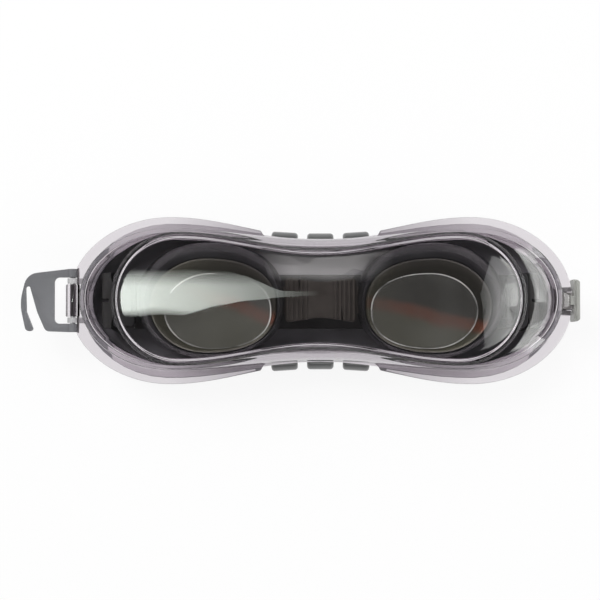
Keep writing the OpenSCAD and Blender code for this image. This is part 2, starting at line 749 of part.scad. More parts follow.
// Strap: one band that leaves both buckles, turns down at the ends and lies in three runs on the floor
function arc(c, r, from, to, n) = [for (i = [0:n]) let (a = mix(from, to, i / n)) c + r * [cos(a), sin(a)]];
bend = 2.6;
low_bend = 8;
loop_x = buckle_x + buckle_l + bend;
fold_r = strap_pitch / 2;
fold_x = loop_x - 7.5;
strap_route = concat(
    [[-(buckle_x + 1.5 + seat_gap), strap_top]],
    arc([-(loop_x + loop_lean - bend), strap_top - bend], bend, 90, 180, 6),
    arc([-(loop_x - low_bend), strap_z1 + low_bend], low_bend, 180, 270, 6),
    arc([fold_x, strap_z1 + fold_r], fold_r, -90, 90, 8),
    arc([-fold_x, strap_z2 + fold_r], fold_r, 270, 90, 8),
    arc([loop_x - bend, strap_z3 + bend], bend, -90, 0, 6),
    arc([loop_x + loop_lean - bend, strap_top - bend], bend, 0, 90, 6),
    [[buckle_x + 1.5 + seat_gap, strap_top]]
);
function route_normal(i) = let (
    m = len(strap_route),
    a = strap_route[max(i - 1, 0)], b = strap_route[min(i + 1, m - 1)],
    t = unit(b - a)
) [-t[1], t[0]];
function strap_edge(side) = [
    for (i = [0:len(strap_route) - 1]) strap_route[i] + route_normal(i) * side * strap_t / 2
];
function reversed(list) = [for (i = [len(list) - 1:-1:0]) list[i]];

module strap() {
    joined_z = strap_top - strap_t / 2 - bend;
    half = loop_x + loop_lean + strap_t;
    neck_x = buckle_x + buckle_l + seat_gap;
    split_x = neck_x + 1.5;
    color([0.25, 0.25, 0.26])
        difference() {
            side_plate(concat(strap_edge(1), reversed(strap_edge(-1))), -bands_w / 2, bands_w);
            translate([-half, -slit_w / 2, 0])
                cube([2 * half, slit_w, joined_z]);
            for (s = [-1, 1])
                translate([s * (split_x + half) / 2, 0, strap_top])
                    cube([half - split_x, slit_w, 2 * (strap_top - joined_z) + 1], center = true);
            both_sides()
                translate([0, 0, joined_z])
                    linear_extrude(height = bend + 4)
                        polygon([
                            [-neck_x, strap_w / 2], [neck_x, strap_w / 2],
                            [split_x, bands_w / 2 + 1], [-split_x, bands_w / 2 + 1]
                        ]);
        }
}

case_base();
case_lid();
hinge_pin();
hanging_hook();
latch_tab();
latch_pin();
grip_pad(-1);  // grip_pad_rear_1
grip_pad(0);  // grip_pad_rear_2
grip_pad(1);  // grip_pad_rear_3
mirror([0, 1, 0]) grip_pad(-1);  // grip_pad_front_1
mirror([0, 1, 0]) grip_pad(0);  // grip_pad_front_2
mirror([0, 1, 0]) grip_pad(1);  // grip_pad_front_3
eye_frame();  // eye_frame_right
left_side() eye_frame();  // eye_frame_left
eye_lens();  // lens_right
left_side() eye_lens();  // lens_left
film();  // film_right
left_side() film();  // film_left
eye_seal();  // eye_seal_right
left_side() eye_seal();  // eye_seal_left
nose_bridge();
buckle();  // buckle_right
left_side() buckle();  // buckle_left
release_button();  // release_button_right
left_side() release_button();  // release_button_left
strap();
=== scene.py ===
import math
import bpy
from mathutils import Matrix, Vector


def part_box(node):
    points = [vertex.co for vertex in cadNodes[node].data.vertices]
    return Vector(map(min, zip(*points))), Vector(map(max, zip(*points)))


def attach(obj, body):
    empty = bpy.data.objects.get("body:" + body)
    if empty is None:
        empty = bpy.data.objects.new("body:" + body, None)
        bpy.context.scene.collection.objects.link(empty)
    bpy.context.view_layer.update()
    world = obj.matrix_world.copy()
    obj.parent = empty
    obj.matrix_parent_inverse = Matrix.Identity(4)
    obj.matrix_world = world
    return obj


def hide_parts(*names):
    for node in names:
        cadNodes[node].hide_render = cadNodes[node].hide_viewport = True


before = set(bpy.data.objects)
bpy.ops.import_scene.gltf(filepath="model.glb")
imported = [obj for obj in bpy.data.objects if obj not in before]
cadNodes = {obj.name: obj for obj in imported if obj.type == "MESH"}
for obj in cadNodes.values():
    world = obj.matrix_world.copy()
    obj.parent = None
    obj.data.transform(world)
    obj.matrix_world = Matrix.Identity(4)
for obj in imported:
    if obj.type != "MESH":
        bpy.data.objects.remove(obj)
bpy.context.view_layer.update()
print("frame loaded:", len(cadNodes), "nodes")

mm = 0.001  # all settings below are in millimetres
noneYet = 0.5  # a ray's depth is below this before it first meets such a surface

# View and stage

photoView = {
    "widthSeen": 228.0,     # width of the picture at the height of the parting line
    "distance": 650.0, "elevation": 88.0, "aim": (-7.8, 0.2, 23.0),
    "sensor": 36.0, "nearest": 10.0,
}
studio = {
    "floorSize": 6000.0, "floorDrop": 0.2, "floorTone": 0.86,
    "floorGlow": 0.88,      # share of plain white in the floor, the rest takes shadow
    "floorGloss": 0.4,      # the same in what gloss mirrors
    "horizon": 1.1,         # what gloss sees just above the floor
    "shoulder": 0.3,        # higher up
    "zenith": 0.07,         # and overhead
    "skyStops": (0.05, 0.3, 0.9), "skyTint": (1.0, 0.985, 0.99),
    "leftShare": 0.6,       # the surroundings are darker on the left
    "leftBand": (-0.5, 0.7),
    "halo": 1.6,            # a ring of softboxes that draws the fine lines on the lid's edges
    "haloBand": (0.4, 0.5, 0.74, 0.84),
    "plainLight": 0.52,     # even light on matt surfaces
    "lampAim": (0.0, 0.0, 20.0),
    "keyPlace": (-420.0, 480.0, 960.0), "keySize": 520.0, "keyPower": 7.0,
    "sidePlace": (900.0, -80.0, 430.0), "sideSize": 800.0, "sidePower": 4.2,
}


def noSelection():
    if bpy.context.mode != "OBJECT":
        bpy.ops.object.mode_set(mode="OBJECT")
    bpy.ops.object.select_all(action="DESELECT")


def makeActive(piece):
    noSelection()
    piece.select_set(True)
    bpy.context.view_layer.objects.active = piece


def scaled(place):
    return [c * mm for c in place]


def mixed(a, b, share):
    return tuple(p + (q - p) * share for p, q in zip(a, b))


# Each input takes a plain value or what another node puts out
def setInputs(tree, node, inputs):
    for socket, source in inputs.items():
        if isinstance(source, bpy.types.NodeSocket):
            tree.links.new(source, node.inputs[socket])
        else:
            node.inputs[socket].default_value = source


def addNode(tree, kind, inputs=None, **settings):
    node = tree.nodes.new("ShaderNode" + kind)
    for label, value in settings.items():
        setattr(node, label, value)
    setInputs(tree, node, inputs or {})
    return node


def maths(tree, operation, *terms, **settings):
    return addNode(tree, "Math", dict(enumerate(terms)), operation=operation, **settings).outputs[0]


# A value carried from one range to another
def mapped(tree, value, start, end=(0.0, 1.0)):
    return addNode(tree, "MapRange", {
        "Value": value, "From Min": start[0], "From Max": start[1], "To Min": end[0], "To Max": end[1],
    }).outputs[0]


def mixedColours(tree, share, first, second):
    node = addNode(tree, "Mix", {"Factor": share, "A": first, "B": second}, data_type="RGBA")
    return node.outputs["Result"]


# A colour ramp whose stops are given from low to high
def addRamp(tree, value, stops):
    node = addNode(tree, "ValToRGB", {0: value})
    elements = node.color_ramp.elements
    while len(elements) < len(stops):
        elements.new(1.0)
    for element, (stop, tint) in zip(elements, stops):
        element.position = stop
        element.color = (*tint, 1)
    return node.outputs[0]


def placeCamera():
    angle = math.radians(photoView["elevation"])
    back = Vector((0, -math.cos(angle), math.sin(angle)))
    aim = Vector(scaled(photoView["aim"]))
    noSelection()
    bpy.ops.object.camera_add(location=aim + back * photoView["distance"] * mm)
    camera = bpy.context.object
    camera.rotation_euler = (-back).to_track_quat("-Z", "Y").to_euler()
    camera.data.sensor_width = photoView["sensor"]
    camera.data.lens = photoView["sensor"] * photoView["distance"] / photoView["widthSeen"]
    camera.data.clip_start = photoView["nearest"] * mm
    bpy.context.scene.camera = camera


def addSoftLight(name, place, size, power):
    noSelection()
    bpy.ops.object.light_add(type="AREA", location=scaled(place))
    lamp = bpy.context.object
    lamp.name = name
    toAim = Vector(scaled(studio["lampAim"])) - lamp.location
    lamp.rotation_euler = toAim.to_track_quat("-Z", "Y").to_euler()
    lamp.data.energy = power
    lamp.data.size = size * mm
    return lamp


def makeWorld():
    world = bpy.data.worlds.new("studioSky")
    bpy.context.scene.world = world
    world.use_nodes = True
    tree = world.node_tree
    tree.nodes.clear()
    path = addNode(tree, "LightPath").outputs
    split = addNode(tree, "SeparateXYZ", {0: addNode(tree, "TexCoord").outputs["Generated"]}).outputs
    levels = (studio["horizon"], studio["shoulder"], studio["zenith"])
    sky = addRamp(tree, split["Z"], [
        (stop, [level * c for c in studio["skyTint"]]) for stop, level in zip(studio["skyStops"], levels)
    ])
    sides = mapped(tree, split["X"], studio["leftBand"], (studio["leftShare"], 1.0))
    haloLevels = (0, studio["halo"], studio["halo"], 0)
    ring = addRamp(tree, split["Z"], [
        (stop, [level] * 3) for stop, level in zip(studio["haloBand"], haloLevels)
    ])
    outside = maths(tree, "LESS_THAN", path["Transmission Depth"], noneYet)
    halo = addNode(tree, "VectorMath", {0: ring, 1: outside}, operation="MULTIPLY").outputs[0]
    shade = addNode(tree, "VectorMath", {0: sky, 1: sides, 2: halo}, operation="MULTIPLY_ADD").outputs[0]
    plain = mixedColours(tree, path["Is Diffuse Ray"], shade, (*[studio["plainLight"]] * 3, 1))
    # white behind the object, also through the lid, but not in what the lid's inside mirrors
    direct = maths(tree, "LESS_THAN", path["Glossy Depth"], noneYet)
    through = maths(tree, "MULTIPLY", path["Is Transmission Ray"], direct)
    seen = maths(tree, "MAXIMUM", path["Is Camera Ray"], through)
    back = addNode(tree, "Background", {"Color": mixedColours(tree, seen, plain, (1, 1, 1, 1))})
    addNode(tree, "OutputWorld", {"Surface": back.outputs[0]})


def stageMaterial(name):
    paint = bpy.data.materials.new(name)
    paint.use_nodes = True
    paint.node_tree.nodes.clear()
    return paint, paint.node_tree


def makeFloor():
    noSelection()
    place = scaled((0, 0, -studio["floorDrop"]))
    bpy.ops.mesh.primitive_plane_add(size=studio["floorSize"] * mm, location=place)
    floor = bpy.context.object
    floor.name = "studioFloor"
    paint, tree = stageMaterial("floorWhite")
    path = addNode(tree, "LightPath").outputs
    seen = maths(tree, "MAXIMUM", path["Is Camera Ray"], path["Is Glossy Ray"])
    seen = maths(tree, "MAXIMUM", seen, path["Is Transmission Ray"])
    # rays that went through clear plastic see the full glow
    mirrored = maths(tree, "SUBTRACT", path["Is Glossy Ray"], path["Is Transmission Ray"], use_clamp=True)
    glow, gloss = studio["floorGlow"], studio["floorGloss"]
    level = maths(tree, "MULTIPLY_ADD", mirrored, gloss - glow, glow)
    matt = addNode(tree, "BsdfDiffuse", {"Color": (*[studio["floorTone"]] * 3, 1)})
    mix = addNode(tree, "MixShader", {
        0: maths(tree, "MULTIPLY", seen, level),
        1: matt.outputs[0],
        2: addNode(tree, "Emission").outputs[0],
    })
    addNode(tree, "OutputMaterial", {"Surface": mix.outputs[0]})
    floor.data.materials.append(paint)


# What the flat parts of the lid mirror: the pale streak of a softbox, and two faint patchy lights.
# X fades in over start and out over fade, Y fades out at both edges.
glowHeight = 700.0
glowCells = 32.0  # patches to the metre
windowStreak = {
    "glow": 20.0, "tint": (0.93, 1.0, 0.93), "patches": (1.0, 1.0),
    "start": (-190.0, -185.0), "fade": (-142.0, 6.0), "lowEdge": (3.0, 12.0), "topEdge": (38.0, 56.0),
    "outline": [
        (-176, 56), (-180, 26), (-176, 3), (-97, 5), (-68, 17), (-52, 21.5), (-35, 23.5), (-21, 26),
        (27, 29.5), (27, 31.5), (-21, 34), (-30, 39), (-48, 50), (-66, 56),
    ],
}
endGlow = {
    "glow": 9.5, "tint": (0.99, 1.0, 0.98), "patches": (0.4, 1.2),
    "start": (126.0, 178.0), "fade": (235.0, 330.0), "lowEdge": (-70.0, -52.0), "topEdge": (95.0, 112.0),
    "outline": [
        (142, -52), (168, -68), (262, -68), (262, 110), (196, 110), (174, 84), (146, 70), (132, 30),
        (138, -10),
    ],
}
waistGlow = {
    "glow": 5.0, "tint": (1.0, 0.98, 0.97), "patches": (0.1, 1.3),
    "start": (-34.0, -10.0), "fade": (30.0, 60.0), "lowEdge": (46.0, 58.0), "topEdge": (84.0, 96.0),
    "outline": [(-30, 46), (58, 46), (62, 96), (-34, 96)],
}


def makeGlow(name, light):
    noSelection()
    bpy.ops.mesh.primitive_circle_add(vertices=len(light["outline"]), fill_type="NGON")
    panel = bpy.context.object
    panel.name = name
    for corner, (x, y) in zip(panel.data.vertices, light["outline"]):
        corner.co = scaled((x, y, glowHeight))
    panel.visible_camera = panel.visible_diffuse = panel.visible_transmission = panel.visible_shadow = False
    paint, tree = stageMaterial(name)
    paint.cycles.emission_sampling = "NONE"
    place = addNode(tree, "TexCoord").outputs["Object"]
    split = addNode(tree, "SeparateXYZ", {0: place}).outputs
    cells = addNode(tree, "TexVoronoi", {"Vector": place, "Scale": glowCells}).outputs["Color"]
    # only the lid's outer skin mirrors it
    path = addNode(tree, "LightPath").outputs
    outside = maths(tree, "LESS_THAN", path["Transmission Depth"], noneYet)
    strength = maths(tree, "MULTIPLY", outside, mapped(tree, cells, (0.0, 1.0), light["patches"]))
    for axis, band, ends in (
        ("X", light["fade"], (light["glow"], 0.0)), ("X", light["start"], (0.0, 1.0)),
        ("Y", light["topEdge"], (1.0, 0.0)), ("Y", light["lowEdge"], (0.0, 1.0)),
    ):
        strength = maths(tree, "MULTIPLY", strength, mapped(tree, split[axis], scaled(band), ends))
    lamp = addNode(tree, "Emission", {"Color": (*light["tint"], 1), "Strength": strength})
    addNode(tree, "OutputMaterial", {"Surface": lamp.outputs[0]})
    panel.data.materials.append(paint)


placeCamera()
makeWorld()
makeFloor()
keyLight = addSoftLight("keyLight", studio["keyPlace"], studio["keySize"], studio["keyPower"])
keyLight.visible_glossy = keyLight.visible_transmission = False
sideLight = addSoftLight("sideLight", studio["sidePlace"], studio["sideSize"], studio["sidePower"])
sideLight.visible_transmission = False
makeGlow("windowStreak", windowStreak)
makeGlow("endGlow", endGlow)
makeGlow("waistGlow", waistGlow)
bpy.context.scene.view_settings.view_transform = "Standard"
print("stage and camera ready")

# Shared effects

effects = {
    "fineDetail": 3, "blotchDetail": 4,
    "scuffDetail": 8, "scuffRoughness": 0.7, "scuffBand": (0.5, 0.78),
}


def newGroup(name, inputs, outputs):
    group = bpy.data.node_groups.new(name, "ShaderNodeTree")
    for label, kind, value in inputs:
        socket = group.interface.new_socket(name=label, in_out="INPUT", socket_type=kind)
        socket.default_value = value
    for label, kind in outputs:
        group.interface.new_socket(name=label, in_out="OUTPUT", socket_type=kind)
    return group, group.nodes.new("NodeGroupInput").outputs, group.nodes.new("NodeGroupOutput")


def makeMouldGrain():
    group, start, end = newGroup("mouldGrain", [
        ("Scale", "NodeSocketFloat", 900.0),
        ("Blotch", "NodeSocketFloat", 60.0),
    ], [("Height", "NodeSocketFloat"), ("Tone", "NodeSocketFloat")])
    place = addNode(group, "TexCoord").outputs["Object"]
    fine = addNode(group, "TexNoise", {
        "Vector": place, "Scale": start["Scale"], "Detail": effects["fineDetail"],
    })
    cells = addNode(group, "TexVoronoi", {"Vector": place, "Scale": start["Scale"]})
    blotch = addNode(group, "TexNoise", {
        "Vector": place, "Scale": start["Blotch"], "Detail": effects["blotchDetail"],
    })
    height = maths(group, "ADD", fine.outputs["Fac"], cells.outputs["Distance"])
    setInputs(group, end, {"Height": height, "Tone": blotch.outputs["Fac"]})
    return group


def makeHandling():
    group, start, end = newGroup("handlingMarks", [
        ("Scale", "NodeSocketFloat", 30.0),
        ("Stretch", "NodeSocketVector", (1.0, 4.0, 1.0)),
    ], [("Mask", "NodeSocketFloat")])
    place = addNode(group, "TexCoord").outputs["Object"]
    stretch = addNode(group, "VectorMath", {0: place, 1: start["Stretch"]}, operation="MULTIPLY")
    scuff = addNode(group, "TexNoise", {
        "Vector": stretch.outputs[0], "Scale": start["Scale"],
        "Detail": effects["scuffDetail"], "Roughness": effects["scuffRoughness"],
    })
    setInputs(group, end, {"Mask": mapped(group, scuff.outputs["Fac"], effects["scuffBand"])})
    return group


mouldGrain = makeMouldGrain()
handlingMarks = makeHandling()


def useGroup(tree, group, **values):
    node = addNode(tree, "Group", node_tree=group)
    setInputs(tree, node, values)
    return node.outputs


def startMaterial(name):
    paint = bpy.data.materials.new(name)
    paint.use_nodes = True
    tree = paint.node_tree
    return paint, tree, tree.nodes["Principled BSDF"]


# Handling marks that carry the gloss from its cleanest to its dullest value
def scuffedGloss(tree, look, **values):
    marks = useGroup(tree, handlingMarks, Scale=look["markScale"], **values)
    return mapped(tree, marks["Mask"], (0.0, 1.0), look["roughness"])


def addBump(tree, height, strength, depth):
    bump = addNode(tree, "Bump", {"Height": height, "Strength": strength, "Distance": depth * mm})
    return bump.outputs[0]


# Opaque moulded piece: tone blotches, scuffs that lift the gloss, and a fine grain
moulded = {"toneBand": (0.3, 0.72), "grainDepth": 0.08, "coatRoughness": 0.2, "ior": 1.48}


def mouldedPlastic(name, look):
    paint, tree, shader = startMaterial(name)
    grain = useGroup(tree, mouldGrain, Scale=look["grainScale"], Blotch=look["blotch"])
    tones = list(zip(moulded["toneBand"], (look["dark"], look["light"])))
    setInputs(tree, shader, {
        "Base Color": addRamp(tree, grain["Tone"], tones),
        "Roughness": scuffedGloss(tree, look),
        "Normal": addBump(tree, grain["Height"], look["bump"], moulded["grainDepth"]),
        "Coat Weight": look.get("coat", 0.0), "Coat Roughness": moulded["coatRoughness"],
        "IOR": moulded["ior"],
    })
    return paint


# Clear moulded plastic with faint haze, and shadows that let the lamps through
def clearPlastic(name, look):
    paint, tree, shader = startMaterial(name)
    place = addNode(tree, "TexCoord").outputs["Object"]
    wave = addNode(tree, "TexNoise", {
        "Vector": place, "Scale": look["waveScale"], "Detail": look["waveDetail"],
    })
    # darker at the edge of its waist, a painted shade in the clear plastic's colour
    split = addNode(tree, "SeparateXYZ", {0: place}).outputs
    along = mapped(tree, maths(tree, "ABSOLUTE", split["X"]), scaled(look["waistShadeAlong"]))
    across = mapped(tree, maths(tree, "ABSOLUTE", split["Y"]), scaled(look["waistShadeAcross"]))
    thick = maths(tree, "MULTIPLY", along, across)
    setInputs(tree, shader, {
        "Base Color": mixedColours(tree, thick, (*look["tint"], 1), (*look["waistShadeTint"], 1)),
        "Roughness": scuffedGloss(tree, look, Stretch=look["markStretch"]),
        "Normal": addBump(tree, wave.outputs["Fac"], look["wave"], look["waveDepth"]),
        "Transmission Weight": 1.0, "IOR": look["ior"],
    })
    # shadow rays, and light that has already met a matt surface, go straight through
    path = addNode(tree, "LightPath").outputs
    soft = maths(tree, "GREATER_THAN", path["Diffuse Depth"], noneYet)
    through = addNode(tree, "BsdfTransparent", {"Color": (*look["shadowTint"], 1)})
    mix = addNode(tree, "MixShader", {
        0: maths(tree, "MAXIMUM", path["Is Shadow Ray"], soft), 1: shader.outputs[0], 2: through.outputs[0],
    })
    setInputs(tree, tree.nodes["Material Output"], {"Surface": mix.outputs[0]})
    return paint


# Smoke lens with a mirror coat; a warm brown streak, a painted reflection, crosses it between olive and
# smoke, and fades at one end into the tone halfway between them
def mirrorLens(name, look):
    paint, tree, shader = startMaterial(name)
    turn = addNode(tree, "Mapping", {
        "Vector": addNode(tree, "TexCoord").outputs["Object"],
        "Location": scaled(look["streakShift"]), "Rotation": (0, 0, math.radians(look["streakTurn"])),
    }).outputs[0]
    drift = addNode(tree, "TexNoise", {
        "Vector": turn, "Scale": look["driftScale"], "Detail": look["driftDetail"],
    })
    split = addNode(tree, "SeparateXYZ", {0: turn}).outputs
    bend = maths(tree, "MULTIPLY_ADD", drift.outputs["Fac"], look["drift"] * mm, split["Y"])
    width = mapped(tree, bend, scaled((-look["streakWidth"], look["streakWidth"])))
    streak = addRamp(tree, width, [(stop, look[tint]) for stop, tint in look["streakStops"]])
    along = mapped(tree, split["X"], scaled(look["streakEnds"]))
    setInputs(tree, shader, {
        "Base Color": mixedColours(tree, along, (*mixed(look["olive"], look["smoke"], 0.5), 1), streak),
        "Roughness": scuffedGloss(tree, look),
        "Metallic": look["metal"], "Coat Weight": look["coat"], "Coat Roughness": look["coatRoughness"],
    })
    return paint


# Thin clear film with faint creases that haze it
filmFinish = {"creaseDetail": 5, "creaseBand": (0.35, 0.75), "creaseDepth": 0.4, "roughness": 0.12}


def thinFilm(name, look):
    paint, tree, shader = startMaterial(name)
    crease = addNode(tree, "TexNoise", {
        "Vector": addNode(tree, "TexCoord").outputs["Object"],
        "Scale": look["creaseScale"], "Detail": filmFinish["creaseDetail"],
    }).outputs["Fac"]
    setInputs(tree, shader, {
        "Base Color": (*look["tint"], 1), "Roughness": filmFinish["roughness"],
        "Alpha": mapped(tree, crease, filmFinish["creaseBand"], look["haze"]),
        "Normal": addBump(tree, crease, look["bump"], filmFinish["creaseDepth"]),
    })
    return paint


# Bright drawn wire with a fine grain
def drawnSteel(name, look):
    paint, tree, shader = startMaterial(name)
    grain = useGroup(tree, mouldGrain, Scale=look["grainScale"], Blotch=look["blotch"])
    setInputs(tree, shader, {
        "Base Color": addRamp(tree, grain["Tone"], [(0.0, look["dark"]), (1.0, look["light"])]),
        "Normal": addBump(tree, grain["Height"], look["bump"], look["grainDepth"]),
        "Metallic": 1.0, "Roughness": look["roughness"],
    })
    return paint


lidClear = clearPlastic("lidClear", {
    "tint": (0.815, 0.78, 0.81), "shadowTint": (0.96, 0.95, 0.96), "ior": 1.49,
    "roughness": (0.0, 0.06), "markScale": 26.0, "markStretch": (1.0, 2.5, 1.0),
    "wave": 0.07, "waveScale": 34.0, "waveDetail": 1, "waveDepth": 1.0,
    # the waist's tint is a painted shade
    "waistShadeTint": (0.5, 0.468, 0.5), "waistShadeAlong": (58.0, 24.0), "waistShadeAcross": (17.6, 19.0),
})
caseGrey = mouldedPlastic("caseGrey", {
    "dark": (0.22, 0.22, 0.232), "light": (0.29, 0.29, 0.302), "roughness": (0.36, 0.56),
    "grainScale": 1500.0, "blotch": 38.0, "markScale": 30.0, "bump": 0.25,
})
# painted light: a lighter copy of the case's grey for its shaded inside and ears
caseLitInside = mouldedPlastic("caseLitInside", {
    "dark": (0.4, 0.4, 0.405), "light": (0.52, 0.52, 0.525), "roughness": (0.3, 0.5),
    "grainScale": 1500.0, "blotch": 38.0, "markScale": 30.0, "bump": 0.2,
})
# painted highlight: the lightest copy of the case's grey, for the rim's upward faces
caseLitRim = mouldedPlastic("caseLitRim", {
    "dark": (0.56, 0.545, 0.56), "light": (0.72, 0.7, 0.72), "roughness": (0.36, 0.56),
    "grainScale": 1500.0, "blotch": 38.0, "markScale": 30.0, "bump": 0.2,
})
hookGrey = mouldedPlastic("hookGrey", {
    "dark": (0.13, 0.132, 0.14), "light": (0.165, 0.167, 0.177), "roughness": (0.34, 0.55),
    "grainScale": 1700.0, "blotch": 55.0, "markScale": 48.0, "bump": 0.25,
})
# painted highlight: the tab's grey is lighter than the hook's, standing for the light it catches
latchGrey = mouldedPlastic("latchGrey", {
    "dark": (0.27, 0.275, 0.255), "light": (0.34, 0.345, 0.32), "roughness": (0.32, 0.5),
    "grainScale": 1700.0, "blotch": 70.0, "markScale": 60.0, "bump": 0.2,
})
padRubber = mouldedPlastic("padRubber", {
    "dark": (0.07, 0.072, 0.072), "light": (0.1, 0.102, 0.101), "roughness": (0.16, 0.28),
    "grainScale": 1900.0, "blotch": 90.0, "markScale": 70.0, "bump": 0.15, "coat": 0.6,
})
frameCharcoal = mouldedPlastic("frameCharcoal", {
    "dark": (0.018, 0.018, 0.019), "light": (0.035, 0.036, 0.036), "roughness": (0.2, 0.36),
    "grainScale": 1800.0, "blotch": 50.0, "markScale": 40.0, "bump": 0.1, "coat": 0.25,
})
sealSilicone = mouldedPlastic("sealSilicone", {
    "dark": (0.018, 0.018, 0.02), "light": (0.035, 0.035, 0.037), "roughness": (0.42, 0.6),
    "grainScale": 1400.0, "blotch": 60.0, "markScale": 40.0, "bump": 0.2,
})
bridgeSoft = mouldedPlastic("bridgeSoft", {
    "dark": (0.042, 0.038, 0.032), "light": (0.08, 0.073, 0.063), "roughness": (0.3, 0.5),
    "grainScale": 1500.0, "blotch": 80.0, "markScale": 60.0, "bump": 0.2,
})
buckleGrey = mouldedPlastic("buckleGrey", {
    "dark": (0.026, 0.027, 0.028), "light": (0.045, 0.047, 0.047), "roughness": (0.25, 0.42),
    "grainScale": 1600.0, "blotch": 70.0, "markScale": 55.0, "bump": 0.2,
})
buttonGrey = mouldedPlastic("buttonGrey", {
    "dark": (0.06, 0.063, 0.061), "light": (0.09, 0.094, 0.09), "roughness": (0.22, 0.38),
    "grainScale": 1600.0, "blotch": 90.0, "markScale": 60.0, "bump": 0.2,
})
strapSilicone = mouldedPlastic("strapSilicone", {
    "dark": (0.035, 0.036, 0.034), "light": (0.062, 0.064, 0.06), "roughness": (0.35, 0.55),
    "grainScale": 1200.0, "blotch": 60.0, "markScale": 35.0, "bump": 0.25,
})
# the brown in the streak is a painted reflection in the mirror coat
lensLook = {
    "olive": (0.2, 0.205, 0.145), "smoke": (0.075, 0.075, 0.06), "brown": (0.29, 0.12, 0.07),
    "metal": 0.7, "coat": 0.6, "coatRoughness": 0.05, "roughness": (0.06, 0.16), "markScale": 45.0,
    "driftScale": 42.0, "driftDetail": 3, "drift": 7.0, "streakWidth": 9.0, "streakStops": (
        (0.0, "olive"), (0.32, "olive"), (0.45, "brown"), (0.55, "brown"), (0.68, "smoke"), (1.0, "smoke"),
    ),
}
lensMirrorRight = mirrorLens("lensMirrorRight", {
    **lensLook, "streakShift": (0, -6.0, 0), "streakTurn": 13.1, "streakEnds": (12, 30),
})
lensMirrorLeft = mirrorLens("lensMirrorLeft", {
    **lensLook, "streakShift": (0, 8.7, 0), "streakTurn": 18.6, "streakEnds": (-52, -34),
})
filmClear = thinFilm("filmClear", {
    "tint": (0.62, 0.66, 0.6), "haze": (0.03, 0.09), "creaseScale": 40.0, "bump": 0.03,
})
filmEdge = thinFilm("filmEdge", {
    "tint": (0.85, 0.88, 0.82), "haze": (0.02, 0.75), "creaseScale": 75.0, "bump": 0.1,
})
pinSteel = drawnSteel("pinSteel", {
    "dark": (0.5, 0.5, 0.51), "light": (0.68, 0.68, 0.69), "roughness": 0.28,
    "grainScale": 2500.0, "blotch": 200.0, "bump": 0.1, "grainDepth": 0.05,
})
print("materials ready")

# Modelling helpers

modelling = {
    "mergeRings": 0.002, "mergeTriangles": 0.004,
    "flatAngle": 0.8, "bevelAngle": 38.0,   # degrees
    "rodSides": 48,
}


# A grid whose rows become rings, one after the other; rows that meet are merged, open ends are filled
def ringPiece(name, rings):
    around = len(rings[0])
    noSelection()
    bpy.ops.mesh.primitive_grid_add(x_subdivisions=around, y_subdivisions=len(rings) - 1)
    piece = bpy.context.object
    piece.name = name
    for number, corner in enumerate(piece.data.vertices):
        row, column = divmod(number, around + 1)
        corner.co = scaled(rings[row][column % around])
    bpy.ops.object.mode_set(mode="EDIT")
    bpy.ops.mesh.select_all(action="SELECT")
    bpy.ops.mesh.remove_doubles(threshold=modelling["mergeRings"] * mm)
    bpy.ops.mesh.select_all(action="DESELECT")
    bpy.ops.mesh.select_non_manifold(
        extend=False, use_wire=False, use_multi_face=False, use_non_contiguous=False,
    )
    if hasOpenEdges(piece):
        bpy.ops.mesh.edge_face_add()
    bpy.ops.mesh.select_all(action="SELECT")
    bpy.ops.mesh.normals_make_consistent(inside=False)
    bpy.ops.object.mode_set(mode="OBJECT")
    return piece


def hasOpenEdges(piece):
    piece.update_from_editmode()
    return any(edge.select for edge in piece.data.edges)


def smoothShade(piece, angle):
    makeActive(piece)
    bpy.ops.object.shade_smooth_by_angle(angle=math.radians(angle))


def applyModifier(piece, kind, **settings):
    makeActive(piece)
    modifier = piece.modifiers.new(kind.lower(), kind)
    for label, value in settings.items():
        setattr(modifier, label, value)
    bpy.ops.object.modifier_apply(modifier=modifier.name)


def bevelEdges(piece, width, segments, **settings):
    applyModifier(piece, "BEVEL", width=width * mm, segments=segments, limit_method="ANGLE", **settings)


# Rod along Y from a cylinder primitive
def rod(name, radius, length, place):
    noSelection()
    bpy.ops.mesh.primitive_cylinder_add(
        vertices=modelling["rodSides"], radius=radius * mm, depth=length * mm,
        location=scaled(place), rotation=(math.pi / 2, 0, 0),
    )
    piece = bpy.context.object
    piece.name = name
    bpy.ops.object.transform_apply(location=True, rotation=True, scale=True)
    return piece


def block(name, low, high):
    noSelection()
    bpy.ops.mesh.primitive_cube_add(size=1)
    piece = bpy.context.object
    piece.name = name
    piece.scale = scaled([high[i] - low[i] for i in range(3)])
    piece.location = scaled([(high[i] + low[i]) / 2 for i in range(3)])
    bpy.ops.object.transform_apply(location=True, rotation=True, scale=True)
    return piece


def combine(piece, other, operation):
    applyModifier(piece, "BOOLEAN", object=other, operation=operation, solver="EXACT")
    bpy.data.objects.remove(other)


# A copy of a CAD node with its loose triangles merged, its flat faces joined and its edges rounded
def roundedCopy(name, node, edge=0.0, segments=3, angle=35, flat=True):
    piece = bpy.data.objects.new(name, cadNodes[node].data.copy())
    bpy.context.scene.collection.objects.link(piece)
    piece.data.materials.clear()
    makeActive(piece)
    bpy.ops.mesh.customdata_custom_splitnormals_clear()
    bpy.ops.object.mode_set(mode="EDIT")
    bpy.ops.mesh.select_all(action="SELECT")
    bpy.ops.mesh.remove_doubles(threshold=modelling["mergeTriangles"] * mm)
    if flat:
        bpy.ops.mesh.dissolve_limited(angle_limit=math.radians(modelling["flatAngle"]))
    bpy.ops.object.mode_set(mode="OBJECT")
    if edge:
        bevelEdges(piece, edge, segments, angle_limit=math.radians(modelling["bevelAngle"]))
    smoothShade(piece, angle)
    return piece


def finishPiece(piece, paint, body, slotName, *nodes):
    piece.data.materials.clear()
    piece.data.materials.append(paint)
    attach(piece, body)
    if nodes:
        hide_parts(*nodes)


# The case

